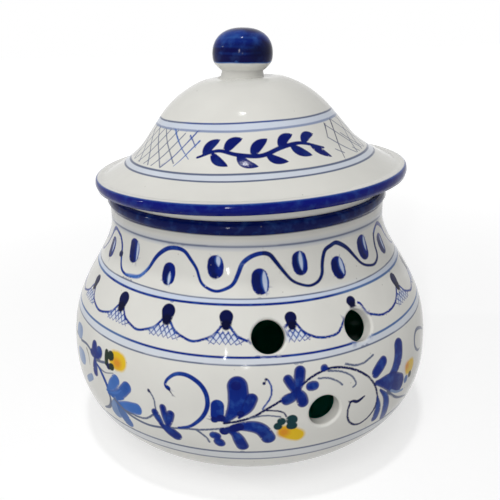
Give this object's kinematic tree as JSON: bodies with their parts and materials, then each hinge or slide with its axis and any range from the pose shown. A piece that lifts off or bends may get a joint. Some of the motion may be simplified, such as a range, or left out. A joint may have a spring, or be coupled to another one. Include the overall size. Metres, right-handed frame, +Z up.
{
  "type": "garlic keeper jar",
  "caption": "Squat bellied ceramic keeper with round air vents in its side and a loose domed lid with a round knob, for storing garlic.",
  "frame": {"origin": "On the table under the middle of the jar", "axes": "+Z up; +X to the right seen from the front; the front faces -Y"},
  "size_m": [0.14, 0.14, 0.1517],
  "materials": {
    "jar_glaze": "gloss",
    "lid_glaze": "gloss",
    "knob_glaze": "gloss"
  },
  "bodies": {
    "jar": {"jar_body": "jar_glaze"},
    "lid": {"lid": "lid_glaze", "lid_knob": "knob_glaze"}
  },
  "joints": [
    {"name": "lid_lift", "type": "slide", "parent": "jar", "child": "lid", "axis": [0, 0, 1], "range_m": [0, 0.15]}
  ]
}
